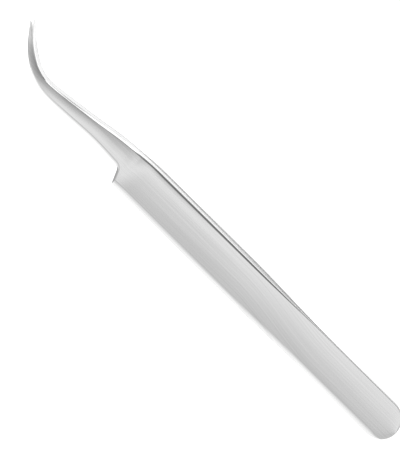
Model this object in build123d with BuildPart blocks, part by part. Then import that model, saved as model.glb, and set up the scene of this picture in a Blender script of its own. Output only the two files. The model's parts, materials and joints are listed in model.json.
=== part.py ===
"""Precision tweezers with a stepped body and a hooked fine point.

Two ground steel arms lie flat against each other at the tail, where weld nuggets
join them, and spring apart from there to the points.  The frame: +X runs from the
tail to the points, +Z is up through the broad faces, and the origin is the middle
of the flat land on the lower arm that the tweezers rest on.
"""

import os
from math import cos, radians, sin

from build123d import *

# Driving dimensions, in millimetres
LENGTH = 125.0  # tail end to points
WIDTH = 9.45  # across the body
HEIGHT = 8.6  # over both arms at the grip, open
LAND_BACK = 50.0  # the two ends of the grip's flat land,
LAND_FRONT = 86.0  # from the tail end

# Heights of an arm's two faces above the plane halfway between the arms
TAIL_THICKNESS = 1.2
GRIP_OUTER, GRIP_INNER = HEIGHT / 2, 2.5
NECK_OUTER, NECK_INNER = 4.1, 2.85
BEND_OUTER, BEND_INNER = 3.95, 3.12
POINT_OUTER, POINT_INNER = 3.85, 3.5

# Distances from the tail end
SPRING_INNER = 20.0  # where the inner faces part
SPRING_OUTER = 23.0  # where the outer faces turn outwards
TAPER = 80.0  # where the hooked side starts to narrow
NECK = 100.0
BEND = 113.0

# The long edges and the point
STEP_SIDE_ROUND, HOOK_SIDE_ROUND = 0.75, 0.35
POINT_RADIUS = 0.12
POINT_SIDE = -8.72  # the point's centre, from the centreline
POINT_HEADING = -44.0  # degrees from +X
REACH = 3 * WIDTH  # a width that spans the body and the hook

# Weld nuggets, each a lens of fused metal with one half in either arm
WELDS = {"rear_weld": 4.5, "middle_weld": 10.0, "front_weld": 15.5}
NUGGET_RADIUS = 1.7
NUGGET_DEPTH = 0.5  # into each arm

half = WIDTH / 2
mid_z = HEIGHT / 2
tail_x = -(LAND_BACK + LAND_FRONT) / 2
point_x = LENGTH - POINT_RADIUS
ball_radius = (NUGGET_RADIUS**2 + NUGGET_DEPTH**2) / (2 * NUGGET_DEPTH)
ball_drop = ball_radius - NUGGET_DEPTH
heading = (cos(radians(POINT_HEADING)), sin(radians(POINT_HEADING)))

# Sketches start at the tail end, halfway between the arms: the plan on the
# parting plane, the sides on the body's left side looking across to the right.
plan_plane = Plane(origin=(tail_x, 0, mid_z))
side_plane = Plane(origin=(tail_x, half, mid_z), x_dir=(1, 0, 0), z_dir=(0, -1, 0))
parting_plane = Plane.XY.offset(mid_z)


def point_rim(turn):
    """A place on the point's small end circle, turned from its heading."""
    angle = radians(POINT_HEADING + turn)
    return point_x + POINT_RADIUS * cos(angle), POINT_SIDE + POINT_RADIUS * sin(angle)


def nugget_ball(x, side):
    """Where the ball sits whose cap reaches into the upper (1) or lower (-1) arm."""
    return Location((tail_x + x, 0, mid_z - side * ball_drop))


def outer_long_edges(arm, side):
    """The outer face's long edges on the step's side (1) or the hook's side (-1)."""
    outer_faces = arm.faces().filter_by(lambda face: face.normal_at().Z > 0.9)
    return outer_faces.edges().filter_by(lambda edge: side * edge.center().Y > half - 0.01)


with BuildPart() as upper_arm:
    # Tail and grip from the side: flat tail, thin spring, thick flat grip
    with BuildSketch(side_plane):
        with BuildLine():
            Polyline((SPRING_INNER, 0), (0, 0), (0, TAIL_THICKNESS), (SPRING_OUTER, TAIL_THICKNESS))
            Spline(
                (SPRING_OUTER, TAIL_THICKNESS),
                (LAND_BACK, GRIP_OUTER),
                tangents=[(1, 0), (1, 0)],
            )
            Polyline(
                (LAND_BACK, GRIP_OUTER),
                (LAND_FRONT, GRIP_OUTER),
                (LAND_FRONT, GRIP_INNER),
                (LAND_BACK, GRIP_INNER),
            )
            Spline((LAND_BACK, GRIP_INNER), (SPRING_INNER, 0), tangents=[(-1, 0), (-1, 0)])
        make_face()
    extrude(amount=WIDTH)
    fillet(outer_long_edges(upper_arm, 1), STEP_SIDE_ROUND)
    fillet(outer_long_edges(upper_arm, -1), HOOK_SIDE_ROUND)

    # Neck and point from the side: both faces draw in towards the point, and the
    # inner face leans so that it meets its twin flat when the arms close
    with BuildSketch(side_plane):
        with BuildLine():
            Spline(
                (LAND_FRONT, GRIP_OUTER),
                (NECK, NECK_OUTER),
                (BEND, BEND_OUTER),
                (LENGTH, POINT_OUTER),
                tangents=[(1, 0), (1, -0.01)],
            )
            Polyline((LENGTH, POINT_OUTER), (LENGTH, POINT_INNER), (BEND, BEND_INNER))
            Spline(
                (BEND, BEND_INNER),
                (NECK, NECK_INNER),
                (LAND_FRONT, GRIP_INNER),
                tangents=[(BEND - LENGTH, BEND_INNER - POINT_INNER), (-1, 0)],
            )
            Line((LAND_FRONT, GRIP_INNER), (LAND_FRONT, GRIP_OUTER))
        make_face()
    extrude(amount=REACH)

    # From above: round tail, parallel body, a step on the left, then a slim neck
    # that runs on into the hook
    with BuildSketch(plan_plane):
        with BuildLine():
            ThreePointArc((half, half), (0, 0), (half, -half))
            Line((half, -half), (TAPER, -half))
            Spline(
                (TAPER, -half),
                (90, -4.42),
                (98, -3.26),
                (105, -2.28),
                (110.5, -1.62),
                (114, -1.56),
                (117.2, -2.95),
                (120.9, -5.5),
                point_rim(-90),
                tangents=[(1, 0), heading],
            )
            ThreePointArc(point_rim(-90), point_rim(0), point_rim(90))
            Spline(
                point_rim(90),
                (122.45, -5.38),
                (120.35, -3.14),
                (117.9, -1.27),
                (115.4, -0.03),
                (112.7, 0.77),
                (109.5, 1.12),
                (103, 0.95),
                (96, 0.62),
                (88.7, 0.93),
            )
            ThreePointArc((88.7, 0.93), (87.65, 1.3), (87.1, 2.1))
            Polyline((87.1, 2.1), (LAND_FRONT, half), (half, half))
        make_face()
    extrude(amount=HEIGHT / 2, mode=Mode.INTERSECT)

    # Each nugget melts a shallow cap out of the tail's inner face
    with Locations(*[nugget_ball(x, 1) for x in WELDS.values()]):
        Sphere(ball_radius, mode=Mode.SUBTRACT)
upper_arm.part.label = "upper_arm"

with BuildPart() as lower_arm:
    mirror(upper_arm.part, about=parting_plane)
lower_arm.part.label = "lower_arm"

os.makedirs("parts", exist_ok=True)
export_step(upper_arm.part, "parts/upper_arm.step")
export_step(lower_arm.part, "parts/lower_arm.step")

for name, x in WELDS.items():
    with BuildPart() as weld:
        with Locations(nugget_ball(x, 1)):
            Sphere(ball_radius)
        with Locations(nugget_ball(x, -1)):
            Sphere(ball_radius, mode=Mode.INTERSECT)
    weld.part.label = name
    export_step(weld.part, f"parts/{name}.step")
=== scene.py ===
"""Precision tweezers on a white table: two brushed steel arms that flex together.

Lengths in the arm's outline are millimetres: x from the tail end, y from the
centreline (the step is on the +y side, the hook on the -y side) and height above
the plane halfway between the arms.  Meshes are in metres, in the frame's axes.
"""

import json
from math import cos, pi, radians, sin

import bmesh
import bpy
import numpy as np
from mathutils import Matrix, Vector

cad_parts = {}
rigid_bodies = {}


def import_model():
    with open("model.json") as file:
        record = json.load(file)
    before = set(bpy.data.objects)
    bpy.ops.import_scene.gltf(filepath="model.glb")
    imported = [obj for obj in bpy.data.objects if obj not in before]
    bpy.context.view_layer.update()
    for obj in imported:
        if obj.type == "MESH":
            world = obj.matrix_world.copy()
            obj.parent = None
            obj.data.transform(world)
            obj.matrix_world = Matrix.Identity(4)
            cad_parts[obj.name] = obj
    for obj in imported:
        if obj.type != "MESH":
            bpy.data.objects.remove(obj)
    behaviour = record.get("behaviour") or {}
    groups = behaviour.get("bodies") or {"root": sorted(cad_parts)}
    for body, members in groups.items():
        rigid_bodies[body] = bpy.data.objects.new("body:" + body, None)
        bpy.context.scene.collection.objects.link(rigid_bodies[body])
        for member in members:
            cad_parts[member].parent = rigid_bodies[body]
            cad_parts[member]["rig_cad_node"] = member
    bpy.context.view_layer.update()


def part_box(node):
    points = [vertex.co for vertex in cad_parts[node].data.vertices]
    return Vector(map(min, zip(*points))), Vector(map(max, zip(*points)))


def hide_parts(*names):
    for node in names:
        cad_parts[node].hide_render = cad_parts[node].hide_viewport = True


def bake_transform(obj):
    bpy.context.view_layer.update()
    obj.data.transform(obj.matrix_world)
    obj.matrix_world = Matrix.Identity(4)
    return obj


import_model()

MM = 0.001

# Overall sizes come from the frame.
arm_low, arm_high = (np.array(corner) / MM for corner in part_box("upper_arm"))
TAIL_X = arm_low[0]
LENGTH = arm_high[0] - arm_low[0]
MID_Z = arm_low[2]
GRIP_OUTER = arm_high[2] - arm_low[2]
HALF = arm_high[1]

# ------------------------------------------------------------------ the arm's shape

TAIL_THICK = 1.2
GRIP_INNER = 2.5  # the grip's inner face, above the middle plane

# Distances from the tail end
INNER_SPRING = 20.0  # where the inner faces part
OUTER_SPRING = 23.0  # where the outer faces turn outwards
LAND_X = 50.0  # where the grip's flat face starts
TAPER_X = 80.0  # where the hooked side starts to narrow
STEP_X = 86.0

STEP_FOOT = np.array([87.1, 2.1])
HOLLOW = np.array([STEP_FOOT, [87.65, 1.3], [88.75, 0.93]])  # three points of its arc

# How far the outer edges are rounded: in from the side and down from the face
BODY_LEFT_IN, BODY_RIGHT_IN, STEP_IN = 1.4, 0.16, 0.7
BODY_LEFT_DOWN, BODY_RIGHT_DOWN = 0.8, 0.16
GRIP_RIGHT_MORE = 0.48  # how much larger the right edge's rounding is at the grip
TAIL_END_ROUND = 0.12
LEAST_ROUND = 0.015
MOST_OF_THICKNESS = 0.9  # how much of the arm's thickness a rounding may take

GRIP_FULLER = 0.34  # how much further out the right side is along the grip
UNDERCUT = 0.10  # how far the grip's right wall leans in towards its inner edge

# The inner edges' rounding, and how steeply the inner face falls away in a zone by
# the right-hand edge
INNER_ROUND, INNER_ROUND_LOSS = 0.12, 0.75
INNER_LEAN, INNER_LEAN_GAIN, INNER_LEAN_ZONE = 0.08, 0.3, 0.9
WIDEST_ZONE = 1.2  # in half widths
ROUND_PER_THICKNESS = 1.2  # how soon a thin edge's rounding reaches its full height

# How far the outer face is crowned, and how far it falls at the grip's right edge
BODY_CROWN, NECK_CROWN, CROWN_LOSS = 0.16, 0.12, 0.8
RIGHT_FALL, RIGHT_FALL_START = 0.17, 0.54

# Stretches along the arm over which the shape changes from one to the other
GRIP_STARTS, GRIP_ENDS = (28, 52), (78, 88)
FALL_STARTS, FALL_ENDS = (42, 80), (79, 88)
LEAN_STARTS, LEAN_GAINS = (INNER_SPRING, INNER_SPRING + 20), (84, 92)
INNER_ROUND_SHRINKS = (80, 90)
CROWN_SHRINKS = (104, 116)
BLEND_START = STEP_X - 4  # where the body's values start to turn into the neck's

# Neck and hook as rungs across the arm: the left end, the right end, how far the
# left and then the right outer edge is ground in and down, how round they are, and
# how steeply the face falls towards the right
LEFT_IN, LEFT_DOWN, RIGHT_IN, RIGHT_DOWN, LEFT_ROUND, RIGHT_ROUND, FACE_TILT = range(4, 11)
RUNGS = np.array(
    [
        [88.75, 0.93, 88.9, -4.50, 0.90, 0.52, 0.44, 0.74, 1.0, 0.0, 0.12],
        [92.0, 0.74, 92.2, -4.17, 0.88, 0.50, 0.47, 0.84, 1.0, 0.0, 0.13],
        [96.0, 0.62, 96.3, -3.52, 0.86, 0.48, 0.44, 0.80, 1.0, 0.0, 0.12],
        [102.0, 0.88, 102.4, -2.64, 0.80, 0.44, 0.39, 0.72, 0.9, 0.0, 0.13],
        [107.0, 1.10, 107.1, -2.02, 0.70, 0.40, 0.33, 0.64, 0.8, 0.0, 0.14],
        [110.8, 1.05, 110.4, -1.62, 0.58, 0.34, 0.25, 0.46, 0.7, 0.0, 0.15],
        [114.0, 0.46, 113.0, -1.54, 0.40, 0.28, 0.20, 0.26, 0.4, 0.0, 0.18],
        [117.2, -0.87, 115.9, -2.26, 0.28, 0.27, 0.32, 0.21, 0.0, 0.0, 0.23],
        [119.8, -2.72, 118.5, -3.74, 0.26, 0.25, 0.34, 0.23, 0.0, 0.0, 0.27],
        [122.0, -4.92, 121.0, -5.58, 0.18, 0.17, 0.26, 0.19, 0.0, 0.0, 0.27],
        [123.6, -6.96, 122.9, -7.30, 0.10, 0.10, 0.16, 0.13, 0.2, 0.1, 0.22],
        [124.72, -8.44, 124.42, -8.66, 0.05, 0.06, 0.08, 0.08, 0.5, 0.3, 0.12],
        [124.97, -8.78, 124.84, -8.835, 0.02, 0.03, 0.02, 0.04, 1.0, 1.0, 0.0],
    ]
)

# Stations along each stretch, and points across each part of a section
TAIL_N, BODY_N, STEP_N, HOLLOW_N, NECK_N = 26, 120, 12, 14, 170
TIP_N = 12  # the neck's last stations, over which the crown runs out
FRONT_N = STEP_N + HOLLOW_N - 1
BACK_N = TAIL_N + 1 + BODY_N
OUTER_EDGE = (0, 0.07, 0.16, 0.28, 0.4, 0.52, 0.64, 0.76, 0.88, 0.95, 1)
INNER_EDGE = (0, 0.35, 0.7, 1)
FACE_N, INNER_N = 22, 14

# Powers that draw stations or columns together at one end of a stretch
BODY_EASE, NECK_EASE, INNER_EASE = 1.15, 1.25, 1.5

MERGE, SLIVER = 1e-7, 1e-8  # metres: vertices closer, and edges shorter, are cleaned up
BRUSHING = "brushing"  # the arms' lengthwise map
FACE, WALL, INNER = range(3)  # the arms' material slots


def smoothstep(t):
    t = np.clip(t, 0.0, 1.0)
    return t * t * (3.0 - 2.0 * t)


def fade(x, stretch):
    """How far x is through a stretch, from 0 to 1, with soft ends."""
    start, end = stretch
    return smoothstep((x - start) / (end - start))


def natural_spline(knots, values):
    """A smooth curve through rows of values, one for each knot, as a function."""
    gaps = np.diff(knots)
    count = len(knots)
    system, right = np.eye(count), np.zeros_like(values)
    for i in range(1, count - 1):
        system[i, i - 1 : i + 2] = gaps[i - 1], 2 * (gaps[i - 1] + gaps[i]), gaps[i]
        slopes = np.diff(values[i - 1 : i + 2], axis=0) / gaps[i - 1 : i + 1, None]
        right[i] = 6 * (slopes[1] - slopes[0])
    bend = np.linalg.solve(system, right)

    def at(t):
        i = np.clip(np.searchsorted(knots, t, side="right") - 1, 0, count - 2)
        gap = gaps[i, None]
        a = (knots[i + 1] - t)[:, None] / gap
        b = 1 - a
        curve = ((a**3 - a) * bend[i] + (b**3 - b) * bend[i + 1]) * gap**2 / 6
        return a * values[i] + b * values[i + 1] + curve

    return at


# Heights of the outer and inner face beyond the step
neck_heights = natural_spline(
    np.array([TAPER_X, STEP_X, 100.0, 113.0, 125.0]),
    np.array(
        [[GRIP_OUTER, GRIP_INNER], [GRIP_OUTER, GRIP_INNER], [4.1, 2.85], [3.95, 3.12], [3.85, 3.5]]
    ),
)


def outer_height(x):
    rise = TAIL_THICK + (GRIP_OUTER - TAIL_THICK) * fade(x, (OUTER_SPRING, LAND_X))
    neck = np.minimum(neck_heights(x.ravel())[:, 0].reshape(x.shape), GRIP_OUTER)
    return np.where(x < STEP_X, rise, neck)


def inner_height(x):
    rise = GRIP_INNER * fade(x, (INNER_SPRING, LAND_X))
    neck = np.maximum(neck_heights(x.ravel())[:, 1].reshape(x.shape), GRIP_INNER)
    return np.where(x < STEP_X, rise, neck)


def steps(start, end, count):
    """Evenly spaced places after start, up to and including end."""
    return np.linspace(start, end, count + 1)[1:]


def circle_through(a, b, c):
    rows = 2 * np.array([b - a, c - a])
    centre = np.linalg.solve(rows, [b @ b - a @ a, c @ c - a @ a])
    return centre, np.linalg.norm(a - centre)


def moved_in(line, distance, side):
    """A line of points moved towards the arm's middle: to its right for side 1."""
    ahead = np.gradient(line, axis=0)
    ahead /= np.linalg.norm(ahead, axis=1)[:, None]
    inward = np.c_[ahead[:, 1], -ahead[:, 0]] * side
    return line + inward * distance[:, None]


# Rungs are spaced by how far apart their middles are, so that the curves stay even.
rung_middles = (RUNGS[:, 0:2] + RUNGS[:, 2:4]) / 2
rung_at = np.r_[0, np.cumsum(np.linalg.norm(np.diff(rung_middles, axis=0), axis=1))]
neck_t = rung_at[-1] * (1 - (1 - np.linspace(0, 1, NECK_N + 1)) ** NECK_EASE)
neck = natural_spline(rung_at, RUNGS)(neck_t)
neck[:, LEFT_IN:LEFT_ROUND] = np.maximum(neck[:, LEFT_IN:LEFT_ROUND], LEAST_ROUND)
neck[:, LEFT_ROUND:] = np.clip(neck[:, LEFT_ROUND:], 0, 1)

step_corner = np.array([STEP_X, HALF])
step_along = (STEP_FOOT - step_corner) / np.linalg.norm(STEP_FOOT - step_corner)
step_inward = np.array([step_along[1], -step_along[0]])
hollow_centre, hollow_radius = circle_through(*HOLLOW)
hollow_from, hollow_to = (
    np.arctan2(*(point - hollow_centre)[::-1]) for point in (HOLLOW[0], HOLLOW[2])
)


def grip_share(x):
    """How much of the grip's own shape a place along the arm has, from 0 to 1."""
    return fade(x, GRIP_STARTS) * (1 - fade(x, GRIP_ENDS))


# How far each station of the round tail has the end's rounding and not the side's:
# from 1.8 down to 1 it has all of it
round_tail = smoothstep(np.linspace(1.8, 0, TAIL_N + 1))


def round_end(tail_end, body, finish):
    """A quarter of the round tail, moved in by tail_end at its middle and by body where it
    meets the straight side, which is at the angle finish."""
    turn = np.linspace(pi, finish, TAIL_N + 1)
    radius = HALF - tail_end + (tail_end - body) * (1 - round_tail)
    return np.c_[np.cos(turn), np.sin(turn)] * radius[:, None] + [HALF, 0]


def left_line(tail_end, body, step, neck_in):
    """The left side from tail to point, moved in by these distances along it."""
    tail = round_end(tail_end, body, pi / 2)
    base = step_corner + step_inward * step
    corner = base + step_along * ((HALF - body - base[1]) / step_along[1])
    foot = STEP_FOOT + step_inward * step
    ease = 1 - (1 - steps(0, 1, BODY_N)) ** BODY_EASE
    straight = tail[-1] + (corner - tail[-1]) * ease[:, None]
    riser = corner + (foot - corner) * steps(0, 1, STEP_N)[:, None]
    angle = steps(hollow_from, hollow_to, HOLLOW_N)[:-1]
    radius = hollow_radius + step + (neck_in[0] - step) * steps(0, 1, HOLLOW_N)[:-1]
    hollow = hollow_centre + np.c_[np.cos(angle), np.sin(angle)] * radius[:, None]
    return np.concatenate([tail, straight, riser, hollow, moved_in(neck[:, 0:2], neck_in, 1)])


def right_line(tail_end, body, neck_in, grip=0.0):
    """The right side from tail to point, its stations in pace with the left's, moved in
    by these distances along it: grip is added along the grip."""
    tail = round_end(tail_end, body, 1.5 * pi)
    start, end = np.array([TAPER_X, -HALF]), neck[0, 2:4]
    slope = (neck[1, 3] - neck[0, 3]) / (neck[1, 2] - neck[0, 2])
    ease = 1 - (1 - steps(0, 1, BODY_N)) ** BODY_EASE
    body_end = STEP_X - 0.6
    x = np.r_[HALF + (body_end - HALF) * ease, steps(body_end, end[0], FRONT_N + 1)[:-1]]
    t = np.clip((x - start[0]) / (end[0] - start[0]), 0, 1)
    run = end[0] - start[0]
    y = start[1] + (end[1] - start[1]) * (3 * t**2 - 2 * t**3) + slope * run * (t**3 - t**2)
    inset = body + (neck_in[0] - body) * fade(x, (TAPER_X, end[0])) + grip * grip_share(x)
    y = y - GRIP_FULLER * grip_share(x)
    side = moved_in(np.concatenate([np.c_[x, y], neck[:, 2:4]]), np.r_[inset, neck_in], -1)
    return np.concatenate([tail, side])


def along_arm(body, rung_values, start=BLEND_START):
    """A value for each station: steady along the body, then the rungs' own."""
    before_neck = left_outline[: BACK_N + FRONT_N, 0]
    lead = body + (rung_values[0] - body) * fade(before_neck, (start, neck[0, 0]))
    return np.r_[lead, rung_values]


no_inset = np.zeros(NECK_N + 1)
left_outline = left_line(0, 0, 0, no_inset)
right_outline = right_line(0, 0, no_inset)
station_x = left_outline[:, 0]
half_width = np.maximum(np.linalg.norm(left_outline - right_outline, axis=1) / 2, 1e-6)
left_down = along_arm(BODY_LEFT_DOWN, neck[:, LEFT_DOWN], STEP_X)
right_down = along_arm(BODY_RIGHT_DOWN, neck[:, RIGHT_DOWN])
right_down += GRIP_RIGHT_MORE * grip_share(station_x)
left_down[: TAIL_N + 1] += (TAIL_END_ROUND - BODY_LEFT_DOWN) * round_tail
right_down[: TAIL_N + 1] += (TAIL_END_ROUND - BODY_RIGHT_DOWN) * round_tail
left_round = along_arm(1.0, neck[:, LEFT_ROUND])
right_round = along_arm(1.0, neck[:, RIGHT_ROUND])
crown = along_arm(BODY_CROWN, np.full(NECK_N + 1, NECK_CROWN)) * np.minimum(half_width, 1)
crown *= 1 - CROWN_LOSS * fade(station_x, CROWN_SHRINKS)
crown[-TIP_N:] *= np.linspace(1, 0, TIP_N)
tilt = along_arm(0.0, neck[:, FACE_TILT])
fall_off = RIGHT_FALL * fade(station_x, FALL_STARTS) * (1 - fade(station_x, FALL_ENDS))
inner_round = INNER_ROUND * (1 - INNER_ROUND_LOSS * fade(station_x, INNER_ROUND_SHRINKS))
inner_lean = INNER_LEAN * fade(station_x, LEAN_STARTS)
inner_lean *= 1 + INNER_LEAN_GAIN * fade(station_x, LEAN_GAINS)


def edge_profile(u, roundness):
    """In and down, both from 0 to 1, at u of the way from the side to the face."""
    inward = roundness * (1 - cos(u * pi / 2)) + (1 - roundness) * u
    down = roundness * (1 - sin(u * pi / 2)) + (1 - roundness) * (1 - u)
    return inward, down


def face_height(x, across, station=slice(None)):
    """The outer face, across going from -1 on the right to 1 on the left."""
    lean = tilt[station] * half_width[station] * (across - 1)
    past_start = np.maximum((-across - RIGHT_FALL_START) / (1 - RIGHT_FALL_START), 0)
    margin = fall_off[station] * past_start**2
    return outer_height(x) - crown[station] * across**2 + np.minimum(lean, 0) - margin


def inner_face_height(line):
    """The inner face, which falls away near the right-hand edge."""
    from_edge = np.linalg.norm(line - right_outline, axis=1)
    zone = np.minimum(INNER_LEAN_ZONE, half_width * WIDEST_ZONE)
    return inner_height(line[:, 0]) + inner_lean * np.maximum(zone - from_edge, 0)


def section_columns():
    """Every lengthwise line of vertices round the section, as (x, y, height) rows."""
    columns = []

    def add(line, lift):
        columns.append(np.c_[line, lift])

    def lower_edge(make_line, part):
        line = make_line(inner_round * (1 - sin(part * pi / 2)))
        add(line, inner_face_height(line) + inner_round * (1 - cos(part * pi / 2)) * wall_share)

    def left_at(distance):
        return left_line(distance[0], distance[0], distance[0], distance[-NECK_N - 1 :])

    def right_at(distance):
        return right_line(distance[0], distance[0], distance[-NECK_N - 1 :], UNDERCUT)

    def outer_edge(side, u):
        if side > 0:
            down, outline = left_down, left_outline
            inward, fall = edge_profile(u, left_round)
            line = left_line(
                TAIL_END_ROUND * inward[0],
                BODY_LEFT_IN * inward[0],
                STEP_IN * inward[0],
                neck[:, LEFT_IN] * inward[-NECK_N - 1 :],
            )
        else:
            down, outline = right_down, right_outline
            inward, fall = edge_profile(u, right_round)
            line = right_line(
                TAIL_END_ROUND * inward[0],
                BODY_RIGHT_IN * inward[TAIL_N],
                neck[:, RIGHT_IN] * inward[-NECK_N - 1 :],
                GRIP_RIGHT_MORE * inward[TAIL_N],
            )
        distance = np.linalg.norm(line - outline, axis=1)
        across = (1 - np.minimum(distance / half_width, 1)) * side
        top = face_height(line[:, 0], across)
        room = top - inner_height(line[:, 0])
        add(line, top - fall * np.minimum(down, room * MOST_OF_THICKNESS))
        return line, across

    thickness = outer_height(left_outline[:, 0]) - inner_height(left_outline[:, 0])
    wall_share = np.minimum(1, thickness * ROUND_PER_THICKNESS)
    for part in INNER_EDGE:
        lower_edge(left_at, part)
    for u in OUTER_EDGE:
        left_face, left_across = outer_edge(1, u)
    mark = len(columns)
    for u in OUTER_EDGE:
        right_face, right_across = outer_edge(-1, u)
    right_columns = columns[mark:][::-1]
    del columns[mark:]
    even = np.linspace(0, 1, FACE_N + 1)[1:-1]
    for share in (even + (1 - np.cos(even * pi)) / 2) / 2:
        line = left_face + (right_face - left_face) * share
        across = left_across + (right_across - left_across) * share
        add(line, face_height(line[:, 0], across))
    columns.extend(right_columns)
    for part in INNER_EDGE[::-1]:
        lower_edge(right_at, part)
    right_inner, left_inner = columns[-1][:, :2], columns[0][:, :2]
    for share in np.linspace(0, 1, INNER_N + 1)[1:-1] ** INNER_EASE:
        line = right_inner + (left_inner - right_inner) * share
        add(line, inner_face_height(line))
    return np.array(columns)


def arm_mesh(name, side, materials):
    """One arm as a closed mesh: side is 1 for the upper arm and -1 for the lower."""
    columns = section_columns()
    count, stations = columns.shape[:2]
    points = columns.copy()
    points[:, :, 0] += TAIL_X
    points[:, :, 2] = MID_Z + side * points[:, :, 2]
    points *= MM

    along = columns[:, :, 0]
    across = columns[:, :, 1] + columns[:, :, 2]

    faces, uvs, slots = [], [], []
    wall_left, wall_right = len(INNER_EDGE) - 1, count - INNER_N - len(INNER_EDGE)
    neck_start = np.searchsorted(right_outline[:, 0], STEP_X - 1)
    for j in range(count):
        nxt = (j + 1) % count
        for i in range(stations - 1):
            corners = (j, i), (nxt, i), (nxt, i + 1), (j, i + 1)
            faces.append([column * stations + station for column, station in corners])
            uvs.extend([(along[corner], across[corner]) for corner in corners])
            # The walls take the darker wall steel, a painted shade; the right wall along the neck
            # takes the bright inner steel instead, a painted highlight.
            if j in (wall_left, wall_right):
                slots.append(INNER if j == wall_right and i > neck_start else WALL)
            elif wall_left < j < wall_right:
                slots.append(FACE)
            else:
                slots.append(INNER)
    faces.append([j * stations + stations - 1 for j in range(count)])
    uvs.extend([(along[j, -1], across[j, -1]) for j in range(count)])
    slots.append(FACE)

    mesh = bpy.data.meshes.new(name)
    mesh.from_pydata(points.reshape(-1, 3).tolist(), [], faces)
    layer = mesh.uv_layers.new(name=BRUSHING)
    layer.data.foreach_set("uv", np.array(uvs).ravel() / LENGTH)
    for material in materials:
        mesh.materials.append(material)
    mesh.polygons.foreach_set("material_index", slots)

    shape = bmesh.new()
    shape.from_mesh(mesh)
    bmesh.ops.remove_doubles(shape, verts=shape.verts, dist=MERGE)
    bmesh.ops.dissolve_degenerate(shape, edges=shape.edges, dist=SLIVER)
    bmesh.ops.recalc_face_normals(shape, faces=shape.faces)
    shape.to_mesh(mesh)
    shape.free()
    mesh.polygons.foreach_set("use_smooth", [True] * len(mesh.polygons))
    arm = bpy.data.objects.new(name, mesh)
    bpy.context.scene.collection.objects.link(arm)
    return arm


# ------------------------------------------------------------------------ materials


def new_material(name):
    material = bpy.data.materials.new(name)
    material.use_nodes = True
    nodes = material.node_tree.nodes
    return material, nodes, material.node_tree.links, nodes["Principled BSDF"]


def brushing_map(nodes):
    """Places on the arm's own lengthwise map."""
    place = nodes.new("ShaderNodeUVMap")
    place.uv_map = BRUSHING
    return place.outputs["UV"]


def stretched_noise(nodes, links, scale_along, scale_across, detail=3.0):
    """Noise drawn out along the brushing."""
    stretch = nodes.new("ShaderNodeMapping")
    stretch.inputs["Scale"].default_value = (scale_along, scale_across, 1)
    noise = nodes.new("ShaderNodeTexNoise")
    noise.inputs["Scale"].default_value = 1.0
    noise.inputs["Detail"].default_value = detail
    links.new(brushing_map(nodes), stretch.inputs["Vector"])
    links.new(stretch.outputs["Vector"], noise.inputs["Vector"])
    return noise.outputs["Fac"]


NOISE_SPAN = (0.3, 0.7)  # where nearly all of a noise's values lie


def mapped(nodes, links, source, span, onto=(0.0, 1.0), interpolation="LINEAR"):
    """A value within a span mapped onto a range of greys or numbers."""
    node = nodes.new("ShaderNodeMapRange")
    node.interpolation_type = interpolation
    for name, value in zip(("From Min", "From Max", "To Min", "To Max"), (*span, *onto)):
        node.inputs[name].default_value = value
    links.new(source, node.inputs["Value"])
    return node.outputs["Result"]


def calculated(nodes, links, operation, *sources):
    """The result of one step of arithmetic on sockets."""
    node = nodes.new("ShaderNodeMath")
    node.operation = operation
    for socket, source in zip(node.inputs, sources):
        links.new(source, socket)
    return node.outputs["Value"]


def fill_ramp(node, stops):
    """Gives a colour ramp its greys, from (place, grey) pairs in order along it."""
    elements = node.color_ramp.elements
    elements.remove(elements[-1])
    elements[0].position = 0.0
    elements[0].color = (stops[0][1],) * 3 + (1,)
    for place, grey in stops[1:]:
        elements.new(place).color = (grey,) * 3 + (1,)


def along_ramp(nodes, links, stops):
    """A value that changes along the arm: stops of (millimetres from the tail, value)."""
    parts = nodes.new("ShaderNodeSeparateXYZ")
    links.new(brushing_map(nodes), parts.inputs["Vector"])
    node = nodes.new("ShaderNodeValToRGB")
    fill_ramp(node, [(x / LENGTH, value) for x, value in stops])
    links.new(parts.outputs["X"], node.inputs["Fac"])
    return node.outputs["Color"]


def brushed_steel(name, greys, roughness, anisotropy, bump):
    """Steel with fine lines along it, its greys and roughness each from least to most."""
    material, nodes, links, shader = new_material(name)
    shader.inputs["Metallic"].default_value = 1.0
    shader.inputs["Anisotropic"].default_value = anisotropy
    shader.inputs["Anisotropic Rotation"].default_value = 0.0

    streaks = stretched_noise(nodes, links, 3, 330, detail=5.0)
    patches = stretched_noise(nodes, links, 14, 40, detail=2.0)
    grey = mapped(nodes, links, streaks, NOISE_SPAN, greys)
    colour = nodes.new("ShaderNodeCombineColor")
    for channel in ("Red", "Green", "Blue"):
        links.new(grey, colour.inputs[channel])
    links.new(colour.outputs["Color"], shader.inputs["Base Color"])

    parts = [
        mapped(nodes, links, pattern, NOISE_SPAN, [share * value for value in roughness])
        for pattern, share in ((streaks, 0.6), (patches, 0.4))
    ]
    links.new(calculated(nodes, links, "ADD", *parts), shader.inputs["Roughness"])

    lines = nodes.new("ShaderNodeBump")
    lines.inputs["Strength"].default_value = bump
    lines.inputs["Distance"].default_value = 0.02 * MM
    links.new(stretched_noise(nodes, links, 16, 1800), lines.inputs["Height"])
    links.new(lines.outputs["Normal"], shader.inputs["Normal"])

    tangent = nodes.new("ShaderNodeTangent")
    tangent.direction_type = "UV_MAP"
    tangent.uv_map = BRUSHING
    links.new(tangent.outputs["Tangent"], shader.inputs["Tangent"])
    return material


def inner_face_steel(shades, polish):
    """The ground inner faces, more polished towards the points; their grey is painted shade towards
    the tail, where the arms close together, and a painted highlight towards the points.
    """
    material, nodes, links, shader = new_material("inner_steel")
    shader.inputs["Metallic"].default_value = 1.0
    links.new(along_ramp(nodes, links, shades), shader.inputs["Base Color"])
    links.new(along_ramp(nodes, links, polish), shader.inputs["Roughness"])
    return material


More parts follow.
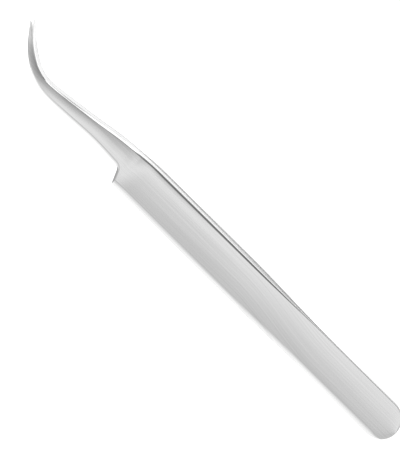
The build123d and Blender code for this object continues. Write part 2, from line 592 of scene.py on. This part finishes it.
face_steel = brushed_steel(
    "satin_steel", greys=(0.70, 0.80), roughness=(0.13, 0.19), anisotropy=0.3, bump=0.15
)
# The side walls: the face's steel painted darker, a painted shade that gives the arms' edges their
# dark line.
wall_steel = brushed_steel(
    "edge_painted_shade", greys=(0.38, 0.46), roughness=(0.30, 0.40), anisotropy=0.0, bump=0.03
)
# The inner faces' greys along the arm are painted light: darker towards the tail as painted shade,
# near white towards the points as a painted highlight.
inner_steel = inner_face_steel(
    shades=((0, 0.70), (40, 0.76), (60, 0.88), (84, 0.97)),
    polish=((0, 0.30), (40, 0.22), (60, 0.12)),
)


def weld_steel():
    """Fused metal: a mottled, slightly tinted grey."""
    material, nodes, links, shader = new_material("fused_steel")
    shader.inputs["Metallic"].default_value = 1.0
    place = nodes.new("ShaderNodeTexCoord")
    noise = nodes.new("ShaderNodeTexNoise")
    noise.inputs["Scale"].default_value = 2500
    links.new(place.outputs["Object"], noise.inputs["Vector"])
    tint = nodes.new("ShaderNodeMix")
    tint.data_type = "RGBA"
    tint.inputs["A"].default_value = (0.42, 0.40, 0.38, 1)
    tint.inputs["B"].default_value = (0.62, 0.60, 0.58, 1)
    links.new(noise.outputs["Fac"], tint.inputs["Factor"])
    links.new(tint.outputs["Result"], shader.inputs["Base Color"])
    roughness = mapped(nodes, links, noise.outputs["Fac"], NOISE_SPAN, (0.35, 0.55))
    links.new(roughness, shader.inputs["Roughness"])
    return material


# --------------------------------------------------------------------------- pieces

for arm_name, node, body, side in (
    ("upper_arm_steel", "upper_arm", "upper", 1),
    ("lower_arm_steel", "lower_arm", "lower", -1),
):
    arm = arm_mesh(arm_name, side, [face_steel, wall_steel, inner_steel])
    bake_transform(arm)
    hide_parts(node)

fused = weld_steel()
for cad_object in bpy.context.scene.objects:
    if cad_object.get("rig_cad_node", "").endswith("_weld"):
        for material_slot in cad_object.material_slots:
            material_slot.material = fused

# ---------------------------------------------------------------- floor and lighting

PAPER_GLOW = 1.2
FLOOR_SIZE, FLOOR_DROP = 8, 0.05 * MM
DOME_RADIUS = 3.8  # small enough for a camera round the table to see it

# How bright the surroundings are by angle from straight up, the hook side positive
STUDIO = (
    (-180, 1.25),
    (-110, 1.20),
    (-90, 1.25),
    (-64, 1.22),
    (-50, 1.14),
    (-38, 1.00),
    (-24, 0.80),
    (-14, 0.64),
    (-6, 0.84),
    (0, 1.02),
    (5, 1.02),
    (10, 0.80),
    (19, 0.45),
    (30, 0.28),
    (45, 0.16),
    (66, 0.16),
    (76, 0.40),
    (93, 0.40),
    (101, 0.18),
    (112, 1.60),
    (134, 1.60),
    (145, 0.80),
    (156, 0.80),
    (164, 1.25),
    (180, 1.25),
)
BRIGHTEST = max(bright for turn, bright in STUDIO)

# Towards the points' end the surroundings get darker, and towards both ends they even
# out: spans of how far along X a direction reaches, from -1 to 1
END_SHADE, SHADE_SPAN = 0.75, (0.35, 0.65)
END_BRIGHT, EVEN_SPAN = 0.65, (0.42, 0.65)


def white_paper():
    material, _, _, shader = new_material("white_paper")
    shader.inputs["Base Color"].default_value = (0.1, 0.1, 0.1, 1)
    shader.inputs["Roughness"].default_value = 1.0
    shader.inputs["Specular IOR Level"].default_value = 0.0
    shader.inputs["Emission Color"].default_value = (1, 1, 1, 1)
    shader.inputs["Emission Strength"].default_value = PAPER_GLOW
    return material


def white_surroundings():
    """A floor and a dome round it, plain white; the steel reflects only the studio."""
    paper = white_paper()
    bpy.ops.mesh.primitive_plane_add(size=FLOOR_SIZE, location=(0, 0, -FLOOR_DROP))
    table = bpy.context.object
    table.name = "table"
    bpy.ops.mesh.primitive_uv_sphere_add(segments=48, ring_count=24, radius=DOME_RADIUS)
    dome = bpy.context.object
    dome.name = "dome"
    for thing in (table, dome):
        thing.data.materials.append(paper)
        thing.visible_glossy = False
        thing.visible_diffuse = False
        thing.visible_shadow = False


def studio():
    """Surroundings that change only from side to side, like long softboxes over a table."""
    surroundings = bpy.data.worlds.new("studio")
    bpy.context.scene.world = surroundings
    surroundings.use_nodes = True
    nodes, links = surroundings.node_tree.nodes, surroundings.node_tree.links
    place = nodes.new("ShaderNodeTexCoord")
    parts = nodes.new("ShaderNodeSeparateXYZ")
    links.new(place.outputs["Generated"], parts.inputs["Vector"])
    along, level, height = (parts.outputs[axis] for axis in "XYZ")

    flip = nodes.new("ShaderNodeMath")
    flip.operation = "MULTIPLY"
    flip.inputs[1].default_value = -1
    links.new(level, flip.inputs[0])
    angle = calculated(nodes, links, "ARCTAN2", flip.outputs["Value"], height)
    sides = nodes.new("ShaderNodeValToRGB")
    fill_ramp(sides, [(turn / 360 + 0.5, bright / BRIGHTEST) for turn, bright in STUDIO])
    links.new(mapped(nodes, links, angle, (-pi, pi)), sides.inputs["Fac"])

    shades = (BRIGHTEST, BRIGHTEST * END_SHADE)
    strength = mapped(nodes, links, along, SHADE_SPAN, shades, "SMOOTHSTEP")
    from_middle = calculated(nodes, links, "ABSOLUTE", along)
    evenness = mapped(nodes, links, from_middle, EVEN_SPAN, interpolation="SMOOTHSTEP")
    mix = nodes.new("ShaderNodeMix")
    mix.data_type = "RGBA"
    mix.inputs["B"].default_value = (END_BRIGHT / BRIGHTEST,) * 3 + (1,)
    links.new(evenness, mix.inputs["Factor"])
    links.new(sides.outputs["Color"], mix.inputs["A"])
    background = nodes["Background"]
    links.new(mix.outputs["Result"], background.inputs["Color"])
    links.new(strength, background.inputs["Strength"])


white_surroundings()
studio()

# --------------------------------------------------------------------------- camera

VIEW_LEAN = radians(6.3)  # from straight down, towards the hooked side
VIEW_TURN = radians(135.33)  # where +X points in the picture
VIEW_CENTRE = Vector((64.45 + TAIL_X, -1.79, MID_Z)) * MM
VIEW_HEIGHT = 104.05 * MM  # what the picture's long side spans
LENS, SENSOR = 400.0, 36.0


def camera():
    lens = bpy.data.cameras.new("camera")
    lens.lens = LENS
    lens.sensor_width = SENSOR
    lens.clip_start, lens.clip_end = 0.05, 20
    eye = bpy.data.objects.new("camera", lens)
    bpy.context.scene.collection.objects.link(eye)
    back = Vector((0, -sin(VIEW_LEAN), cos(VIEW_LEAN)))
    level_right, level_up = Vector((1, 0, 0)), Vector((0, cos(VIEW_LEAN), sin(VIEW_LEAN)))
    right = level_right * cos(VIEW_TURN) - level_up * sin(VIEW_TURN)
    up = level_right * sin(VIEW_TURN) + level_up * cos(VIEW_TURN)
    place = Matrix.Translation(VIEW_CENTRE + back * VIEW_HEIGHT * LENS / SENSOR)
    eye.matrix_world = place @ Matrix((right, up, back)).transposed().to_4x4()
    bpy.context.scene.camera = eye


camera()

view_settings = bpy.context.scene.view_settings
view_settings.view_transform = "Standard"
view_settings.look = "None"
